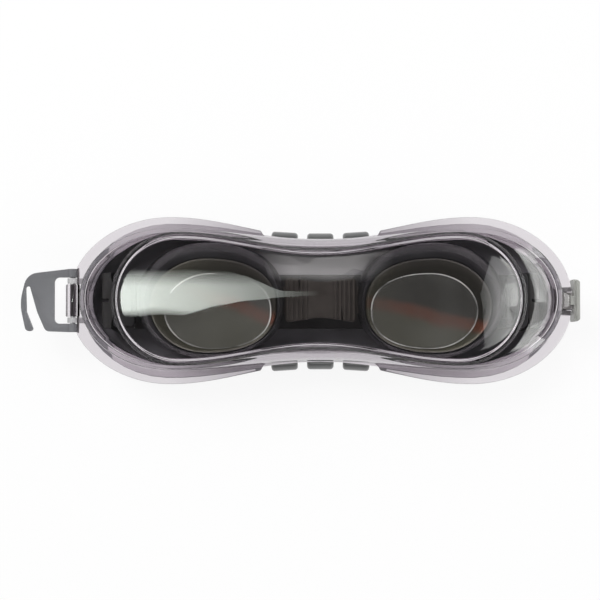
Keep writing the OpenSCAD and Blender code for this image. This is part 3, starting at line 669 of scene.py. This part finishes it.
pinLow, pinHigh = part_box("hinge_pin")
hinge = {
    "x": (pinLow.x + pinHigh.x) / 2 / mm, "z": (pinLow.z + pinHigh.z) / 2 / mm,
    "pinRadius": (pinHigh.x - pinLow.x) / 2 / mm, "pinHalf": pinHigh.y / mm,
    "barrelRadius": 2.7, "barrelHalf": 6.1, "barrelEdge": 0.35,
    "notchRadius": 2.6, "notchRoom": 0.3, "boreRoom": 0.04,
}

shell = {
    # half length, half width of a lobe, half width of the waist, place of the lobe
    "wall": (90.1, 26.3, 23.0, 57.0),
    "flange": (95.7, 31.7, 23.9, 57.0),
    "window": (76.6, 24.6, 18.6, 52.0),
    "windowShift": -0.8,    # along x, as the photo shows it
    "thickness": 1.8,
    "windowThickness": 0.9,     # at the window's wall, as a share of the thickness
    "top": 45.0, "ceiling": 43.2, "crown": 0.2, "crownSteps": 7,
    "ridge": 0.25,          # share of its length that the crown loses towards the middle line
    "flangeLow": 22.3, "flangeTop": 24.0, "flangeEdge": 0.45,
    "edgeShare": 0.3,       # how far in the middle of that edge lies
    "lipDepth": 2.0, "lipWidth": 1.0, "lipRoom": 0.3, "lipEdge": 0.2, "lipRoot": 1.2,
    "foot": ((0.9, 0.0), (0.5, 0.08), (0.22, 0.3), (0.1, 0.6)),     # distance from the wall, rise
    "footRoom": 0.04,
    "cutHalf": 22.0, "cutBlend": 0.9, "cutTurns": (-0.9, -0.45, 0.0, 0.45, 0.9), "cutRoom": 0.05,
    "waistTo": 18.0, "lobeFrom": 44.0, "around": 152,
    "latchNotch": ((-1.5, -2.02, 21.3), (2.5, 2.02, 25.3)),     # two corners, x from the flange's end
}
sineLimit = 1e-9  # a smaller sine counts as none
# Distance from the wall, share of the way from there to the window, distance inside the window,
# share of the height, share of the way from wall to window at the waist
lidProfile = [
    (0.05, 0, 0, 0.05, 0.01), (0.1, 0, 0, 0.2, 0.025), (0.16, 0, 0, 0.38, 0.06),
    (0.22, 0, 0, 0.54, 0.1), (0.36, 0, 0, 0.66, 0.15), (0.5, 0, 0, 0.74, 0.23),
    (0.62, 0, 0, 0.79, 0.31), (0.74, 0, 0, 0.825, 0.4), (0.86, 0, 0, 0.85, 0.49),
    (0.98, 0, 0, 0.868, 0.57), (1.12, 0, 0, 0.882, 0.64), (1.28, 0, 0, 0.892, 0.71),
    (1.48, 0, 0, 0.899, 0.77), (1.7, 0, 0, 0.904, 0.82), (1.85, 0.35, 0, 0.909, 0.88),
    (2.0, 0.7, 0, 0.915, 0.94), (0, 1, -0.15, 0.918, 0.985), (0, 1, 0.0, 0.921, 1),
    (0, 1, 0.12, 0.929, 1), (0, 1, 0.22, 0.94, 1), (0, 1, 0.34, 0.955, 1),
    (0, 1, 0.48, 0.969, 1), (0, 1, 0.62, 0.979, 1), (0, 1, 0.82, 0.986, 1),
    (0, 1, 1.2, 0.99, 1),
]


def drawnIn(outline, depth):
    return (outline[0] - depth, outline[1] - depth, outline[2] - depth, outline[3])


# A share kept between 0 and 1, with a soft start and end
def eased(share):
    share = max(0.0, min(1.0, share))
    return share * share * (3 - 2 * share)


# Half width of a peanut outline at x
def peanutHalf(x, outline):
    end, lobe, waist, place = outline
    if abs(x) <= place:
        return waist + (lobe - waist) * (1 - math.cos(math.pi * x / place)) / 2
    return lobe * math.sqrt(max(0.0, 1 - ((abs(x) - place) / (end - place)) ** 2))


# Angles round the shell, with a few more where the flange steps back at the waist
def shellTurns():
    turns = [2 * math.pi * i / shell["around"] for i in range(shell["around"])]
    for edge in shell["cutTurns"]:
        near = math.acos((shell["cutHalf"] + edge * shell["cutBlend"]) / shell["flange"][0])
        turns += [near, math.pi - near, math.pi + near, 2 * math.pi - near]
    return sorted(turns)


# One ring of an outline; cut is the outline that it steps back to at the waist
def peanutRing(outline, z, turns, cut=None):
    ring = []
    for turn in turns:
        x = outline[0] * math.cos(turn)
        half = peanutHalf(x, outline)
        if cut:
            inside = eased((shell["cutHalf"] - abs(x)) / shell["cutBlend"] / 2 + 0.5)
            half += (peanutHalf(x, cut) + shell["cutRoom"] - half) * inside
        side = 0 if abs(math.sin(turn)) < sineLimit else math.copysign(1, math.sin(turn))
        ring.append((x, side * half, z))
    return ring


# 1 at the waist, 0 at the lobes and ends
def waistShare(x):
    return eased((shell["lobeFrom"] - abs(x)) / (shell["lobeFrom"] - shell["waistTo"]))


# Rings from the window's edge up to the ridge along the middle
def crownRings(edge):
    rings = []
    for step in range(1, shell["crownSteps"] + 1):
        share = step / shell["crownSteps"]
        rise = shell["crown"] * (1 - (1 - share) ** 2)
        rings.append([(x * (1 - shell["ridge"] * share), y * (1 - share), z + rise) for x, y, z in edge])
    return rings


def lidRings():
    turns = shellTurns()
    wall, window, flange = shell["wall"], shell["window"], shell["flange"]
    low, top, edge = shell["flangeLow"], shell["flangeTop"], shell["flangeEdge"]
    drop = edge * shell["edgeShare"]

    # One skin of the dome; the corner between wall and window is tighter where they come close together
    def skin(depth, high):
        foot = peanutRing(drawnIn(wall, depth), top, turns)
        rise = (high - shell["crown"] - top) / lidProfile[-1][3]
        rings = []
        for out, across, inward, up, acrossWaist in lidProfile:
            insides = peanutRing(drawnIn(window, depth * shell["windowThickness"] + inward), top, turns)
            ring = []
            for start, (x, y, z) in zip(foot, insides):
                inside = (x + shell["windowShift"], y, z)
                corner = mixed(start, inside, 1 - math.exp(-out / math.dist(start, inside)))
                atEnd, atWaist = mixed(corner, inside, across), mixed(start, inside, acrossWaist)
                ring.append(mixed(atEnd, atWaist, waistShare(start[0]))[:2] + (top + rise * up,))
            rings.append(ring)
        return rings + crownRings(rings[-1])

    inner = skin(shell["thickness"], shell["ceiling"])
    outer = skin(0, shell["top"])
    lipOut = drawnIn(wall, shell["thickness"] + shell["lipRoom"])
    lipIn = drawnIn(lipOut, shell["lipWidth"])
    lipEnd, lipEdge = low - shell["lipDepth"], shell["lipEdge"]
    middle = [peanutRing(outline, z, turns) for outline, z in (
        (lipIn, top - shell["lipRoot"]), (lipIn, lipEnd + lipEdge), (drawnIn(lipIn, -lipEdge), lipEnd),
        (drawnIn(lipOut, lipEdge), lipEnd), (lipOut, lipEnd + lipEdge), (lipOut, low),
    )]
    middle += [peanutRing(drawnIn(flange, depth), z, turns, cut=wall) for depth, z in (
        (edge, low), (drop, low + drop), (0, low + edge), (0, top - edge), (drop, top - drop), (edge, top),
    )]
    foot = drawnIn(wall, shell["footRoom"])
    middle += [peanutRing(drawnIn(wall, -out), top + up, turns, cut=foot) for out, up in shell["foot"]]
    return inner[::-1] + middle + outer


def makeLid():
    lid = ringPiece("lidShell", lidRings())
    x, z = hinge["x"], hinge["z"]
    barrel = rod("lidBarrel", hinge["barrelRadius"], 2 * hinge["barrelHalf"], (x, 0, z))
    bevelEdges(barrel, hinge["barrelEdge"], segments=3)
    combine(lid, barrel, "UNION")
    notchWide = hinge["pinHalf"] + hinge["notchRoom"] - hinge["barrelHalf"]
    for side in (-1, 1):
        middle = side * (hinge["barrelHalf"] + notchWide / 2)
        combine(lid, rod("notch", hinge["notchRadius"], notchWide, (x, middle, z)), "DIFFERENCE")
    bore = rod("bore", hinge["pinRadius"] + hinge["boreRoom"], 2 * hinge["pinHalf"], (x, 0, z))
    combine(lid, bore, "DIFFERENCE")
    corners = [(shell["flange"][0] + along, across, up) for along, across, up in shell["latchNotch"]]
    combine(lid, block("latchNotch", *corners), "DIFFERENCE")
    smoothShade(lid, angle=32)
    finishPiece(lid, lidClear, "lid", "clear_plastic", "case_lid")


# The ears and the tub's inside at its waist take a lighter grey than its outside, the rim's upward faces
# the lightest: painted light on one moulding, lifting its shade inside the tub and on the ears, with a
# painted highlight on the rim's top
basePaintedLight = {
    "earReach": 1.4, "earRoom": 0.5, "rimDrop": 0.6, "rimTilt": 0.6, "rimEnd": 80.0,
    "litInsideGap": 1.0, "litInsideTilt": 0.02, "litInsideEnd": 48.0,
}


def makeBase():
    base = roundedCopy("baseShell", "case_base", flat=False, angle=30)
    finishPiece(base, caseGrey, "case", "case_grey", "case_base")
    base.data.materials.append(caseLitInside)
    base.data.materials.append(caseLitRim)
    end, gap = shell["wall"][0], basePaintedLight["litInsideGap"]
    for face in base.data.polygons:
        x, y, z = face.center / mm
        tilt = face.normal.z
        ears = abs(x) > end - basePaintedLight["earReach"] and abs(y) < hinge["pinHalf"] + basePaintedLight["earRoom"]
        high = z > shell["flangeLow"] - basePaintedLight["rimDrop"]
        rim = tilt > basePaintedLight["rimTilt"] and high and abs(x) < basePaintedLight["rimEnd"]
        within = 0 < y < peanutHalf(x, shell["wall"]) - gap and abs(x) < basePaintedLight["litInsideEnd"]
        # painted light on the faces in shade, painted highlight on the rim's top
        if ears or within and tilt > basePaintedLight["litInsideTilt"] and not rim:
            face.material_index = 1
        elif rim:
            face.material_index = 2


# The thumb plate gets its round corners in plan before its edges are rounded.
# The block that cuts them reaches past the plate by the room or, where it cuts, by the skin.
latch = {"planCorner": 1.7, "edge": 0.3, "room": 5.0, "skin": 0.01}


def makeLatch():
    tab = roundedCopy("latchTab", "latch_tab")
    low, high = [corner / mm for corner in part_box("latch_tab")]
    room, skin = latch["room"], latch["skin"]
    corners = block("planCorners", low - Vector((room, skin, room)), high + Vector((skin, skin, room)))
    bevelEdges(corners, latch["planCorner"], segments=6)
    combine(tab, corners, "INTERSECT")
    bevelEdges(tab, latch["edge"], segments=3, angle_limit=math.radians(modelling["bevelAngle"]))
    smoothShade(tab, angle=35)
    finishPiece(tab, latchGrey, "latch", "latch_grey", "latch_tab")


# Pieces whose solids only need their edges rounded
def finishSolid(name, node, paint, body, slotName, edge, segments=3):
    piece = roundedCopy(name, node, edge=edge, segments=segments)
    finishPiece(piece, paint, body, slotName, node)


makeLid()
makeBase()
makeLatch()
finishSolid("hingePin", "hinge_pin", pinSteel, "case", "steel", edge=0.25)
finishSolid("latchPin", "latch_pin", pinSteel, "case", "steel", edge=0.2)
finishSolid("hangingHook", "hanging_hook", hookGrey, "hook", "hook_grey", edge=0.35)
for side in ("front", "rear"):
    for number in (1, 2, 3):
        name, node = f"gripPad.{side}.{number}", f"grip_pad_{side}_{number}"
        finishSolid(name, node, padRubber, "case", "pad_rubber", edge=1.25, segments=5)
print("case ready")

# The goggles

# The outline that all pieces of an eye follow, seen from above, and where they meet
eye = {
    "outer": 69.6, "inner": 13.5, "peak": 44.0, "half": 22.2, "nosePower": 2 / 2.3, "around": 112,
    "frameLow": 19.5, "frameTall": 17.0, "rim": 4.4, "lensRise": 4.0,
    "faceInset": 6.6, "faceDrop": 3.5, "faceShift": 2.2, "crown": 1.0,
    "sealWall": 1.8, "neck": 2.0, "neckInset": 4.0, "seatGap": 0.3,
}
rimTop = eye["frameLow"] + eye["frameTall"]
faceTop = rimTop + eye["lensRise"]


# Egg outline of one eye piece; lean moves it towards cheek and nose
def eyeRing(side, inset, z, lean=0.0):
    ring = []
    for step in range(eye["around"]):
        turn = 2 * math.pi * step / eye["around"]
        across, up = math.cos(turn), math.sin(turn)
        reach = (eye["outer"] - eye["peak"] if across >= 0 else eye["peak"] - eye["inner"]) - inset
        power = 1 if across >= 0 else eye["nosePower"]
        x = eye["peak"] + reach * math.copysign(abs(across) ** power, across) - lean * eye["faceShift"]
        y = (eye["half"] - inset) * math.copysign(abs(up) ** power, up) - lean * eye["faceDrop"]
        ring.append((side * x, y, z))
    return ring


# Share of the lean that a ring has at its inset
def leanAt(inset):
    return min(1.0, inset / eye["faceInset"])


# Height of the lens's crowned face
def faceHeight(side, x, y):
    middle = (eye["outer"] + eye["inner"]) / 2 - eye["faceShift"]
    long = (eye["outer"] - eye["inner"]) / 2 - eye["faceInset"]
    tall = eye["half"] - eye["faceInset"]
    outwards, upwards = (side * x - middle) / long, (y + eye["faceDrop"]) / tall
    return faceTop - eye["crown"] * (outwards ** 2 + upwards ** 2)


# A ring on that face, drawn towards its middle by share
def faceRing(side, inset, share, lift, toNose=0.0, toCheek=0.0):
    middle = side * ((eye["outer"] + eye["inner"]) / 2 - eye["faceShift"])
    ring = []
    for x, y, _ in eyeRing(side, inset, 0, 1):
        px = middle + (x - middle) * share - side * toNose
        py = -eye["faceDrop"] + (y + eye["faceDrop"]) * share - toCheek
        ring.append((px, py, faceHeight(side, px, py) + lift))
    return ring


eyeFrame = {
    "wall": 2.0, "seat": 1.6, "rimEdge": 0.15, "shelf": 1.4, "shelfLap": 0.4,
    "foot": ((1.9, 0.0), (0.9, 0.35), (0.3, 1.2), (0.05, 2.6), (0.0, 4.0)),     # inset, height
    # inset, share of the height
    "belly": (0.05, 0.4),
    "side": ((0.3, 0.55), (0.7, 0.69), (1.3, 0.8), (2.0, 0.89), (2.6, 0.94), (3.1, 0.985), (3.6, 1.0)),
    "inside": ((1.3, 0.72), (0.3, 0.52)),   # inset from the wall, share of the height
    "lugInset": 1.4, "lugHalf": 7.0, "lugLow": 2.0, "lugTop": 6.0, "lugEdge": 0.8,
}


# The profile has rows of inset, height and lean
def makeFrame(side, word):
    tall, low, rim = eye["frameTall"], eye["frameLow"], eye["rim"]
    wall, seat, edge = eyeFrame["wall"], eyeFrame["seat"], eyeFrame["rimEdge"]
    inner, shelf = rim + seat, eye["neck"] + eye["seatGap"]
    shelfTop = shelf + eyeFrame["shelf"]
    neckIn = eye["neckInset"] + eye["sealWall"] - eyeFrame["shelfLap"]
    neckOut = eye["neckInset"] - eye["seatGap"]
    belly, bellyUp = eyeFrame["belly"]
    (shoulder, shoulderUp), (waist, waistUp) = eyeFrame["inside"]
    profile = [(inset, z, 0) for inset, z in eyeFrame["foot"]] + [(belly, tall * bellyUp, 0)]
    profile += [(inset, tall * share, leanAt(inset)) for inset, share in eyeFrame["side"]]
    profile += [
        (rim - edge, tall, leanAt(rim)), (rim, tall - edge, leanAt(rim)), (rim, tall - seat, leanAt(rim)),
        (inner, tall - seat, leanAt(inner)), (inner, tall - 2 * seat, leanAt(inner)),
        (shoulder + wall, tall * shoulderUp, leanAt(shoulder)), (waist + wall, tall * waistUp, 0),
        (wall, shelfTop, 0), (neckIn, shelfTop, 0), (neckIn, shelf, 0), (neckOut, shelf, 0),
        (neckOut, 0, 0), profile[0],
    ]
    rings = [eyeRing(side, inset, low + z, lean) for inset, z, lean in profile]
    frameShell = ringPiece("eyeFrame." + word, rings)
    # the lug that carries the buckle runs out to the solid's end
    boxLow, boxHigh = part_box("eye_frame_" + word)
    lugEnd = (boxHigh.x if side > 0 else boxLow.x) / mm
    ends = sorted((side * (eye["outer"] - eyeFrame["lugInset"]), lugEnd))
    half = eyeFrame["lugHalf"]
    lowCorner = (ends[0], -half, low + eyeFrame["lugLow"])
    lug = block("lug", lowCorner, (ends[1], half, low + eyeFrame["lugTop"]))
    bevelEdges(lug, eyeFrame["lugEdge"], segments=4)
    makeActive(frameShell)
    lug.select_set(True)
    bpy.ops.object.join()
    smoothShade(frameShell, angle=32)
    finishPiece(frameShell, frameCharcoal, "case", "frame_charcoal", "eye_frame_" + word)


lensShape = {
    "wall": 1.6, "room": 0.1, "skirt": 1.5, "taper": 0.8,
    "shoulder": ((0.0, 0.0), (0.1, 0.28), (0.4, 0.46), (1.0, 0.6)),     # inset, share of the rise
    "face": (1.0, 0.97, 0.9, 0.75, 0.6, 0.45, 0.3, 0.15, 0.0), "inside": (0.0, 0.5, 0.93),
}


def makeLens(side, word, paint):
    start, wall, inset = eye["rim"] + lensShape["room"], lensShape["wall"], eye["faceInset"]
    skirt = rimTop - lensShape["skirt"]
    inner = [
        [(x, y, z - wall) for x, y, z in faceRing(side, inset, share, 0)] for share in lensShape["inside"]
    ]
    within = start + wall * lensShape["taper"]
    inner.append(eyeRing(side, within, skirt, leanAt(within)))
    outer = [eyeRing(side, start, skirt, leanAt(start))]
    for step, rise in lensShape["shoulder"]:
        outer.append(eyeRing(side, start + step, rimTop + rise * eye["lensRise"], leanAt(start + step)))
    outer += [faceRing(side, inset, share, 0) for share in lensShape["face"]]
    lens = ringPiece("lens." + word, inner + outer)
    smoothShade(lens, angle=38)
    finishPiece(lens, paint, "case", "lens_mirror", "lens_" + word)


filmShape = {
    "margin": 1.6, "shift": 1.1, "drop": 1.0, "gap": 0.1, "thick": 0.2,
    "face": (0.0, 0.3, 0.55, 0.75, 0.9, 1.0), "bead": (1.0, 0.988, 0.976), "beadRise": 0.06,
}


# The film and the brighter bead along its edge
def makeFilm(side, word):
    inset, rise = eye["faceInset"] + filmShape["margin"], filmShape["beadRise"]
    low, high = filmShape["gap"], filmShape["gap"] + filmShape["thick"]
    place = (filmShape["shift"], filmShape["drop"])
    under = [faceRing(side, inset, share, low, *place) for share in filmShape["face"]]
    over = [faceRing(side, inset, share, high, *place) for share in filmShape["face"][::-1]]
    film = ringPiece("film." + word, under + over)
    smoothShade(film, angle=40)
    finishPiece(film, filmClear, "case", "film", "film_" + word)
    out, ridge, back = filmShape["bead"]
    profile = [
        (out, low), (out, high + rise), (ridge, high + 2 * rise),
        (back, high + rise), (back, low), (out, low),
    ]
    rings = [faceRing(side, inset, share, lift, *place) for share, lift in profile]
    bead = ringPiece("filmEdge." + word, rings)
    smoothShade(bead, angle=60)
    finishPiece(bead, filmEdge, "case", "film")


eyeSeal = {
    "low": 10.1, "tall": 9.4, "foot": 2.6,
    "round": ((1.8, 0.12), (1.2, 0.5), (0.9, 1.1), (0.8, 1.8)),     # inset, height
    "side": ((0.95, 0.32), (1.3, 0.48), (1.6, 0.66), (1.8, 0.8)),   # inset, share of the height
    "topInset": 2.2, "neckFrom": 0.92,
    "inside": ((1.9, 0.7), (1.3, 0.45)),                # inset from the wall, share of the height
    "bend": ((0.9, 1.5), (1.1, 1.05), (1.8, 0.85)),     # the same, height as a share of the wall
    "lip": 5.4, "lipRound": 0.9, "lipEdge": (0.2, 0.08),
    "lipThick": (0.65, 0.3),    # shares of the wall, before the lip's round end and at it
}


# The profile runs up outside, round the neck, down inside and along the lip that turns in
def makeSeal(side, word):
    tall, wall, foot = eyeSeal["tall"], eye["sealWall"], eyeSeal["foot"]
    under, top, neck = tall - eye["seatGap"], tall + eye["neck"], eye["neckInset"]
    lip, lipRound = foot + eyeSeal["lip"], foot + eyeSeal["lip"] * eyeSeal["lipRound"]
    (edgeIn, edgeUp), (thick, thin) = eyeSeal["lipEdge"], eyeSeal["lipThick"]
    profile = [(foot, 0), *eyeSeal["round"]]
    profile += [(inset, tall * share) for inset, share in eyeSeal["side"]]
    profile += [
        (eyeSeal["topInset"], under), (neck, under), (neck, top), (neck + wall, top),
        (neck + wall, tall * eyeSeal["neckFrom"]),
    ]
    profile += [(inset + wall, tall * share) for inset, share in eyeSeal["inside"]]
    profile += [(inset + wall, wall * share) for inset, share in eyeSeal["bend"]]
    profile += [
        (lipRound, wall * thick), (lip, wall * thin), (lip - edgeIn, edgeUp), (lipRound, 0), (foot, 0),
    ]
    seal = ringPiece("eyeSeal." + word, [eyeRing(side, inset, eyeSeal["low"] + z) for inset, z in profile])
    smoothShade(seal, angle=40)
    finishPiece(seal, sealSilicone, "case", "seal_silicone", "eye_seal_" + word)


for side, word, paint in ((-1, "left", lensMirrorLeft), (1, "right", lensMirrorRight)):
    makeFrame(side, word)
    makeLens(side, word, paint)
    makeFilm(side, word)
    makeSeal(side, word)
    finishSolid("buckle." + word, "buckle_" + word, buckleGrey, "case", "buckle_grey", edge=0.35)
    name, node = "releaseButton." + word, "release_button_" + word
    finishSolid(name, node, buttonGrey, "button_" + word, "button_grey", edge=0.3)
finishSolid("noseBridge", "nose_bridge", bridgeSoft, "case", "bridge_soft", edge=0.25)
finishSolid("strapBands", "strap", strapSilicone, "case", "strap_silicone", edge=0.3)
print("goggles ready")
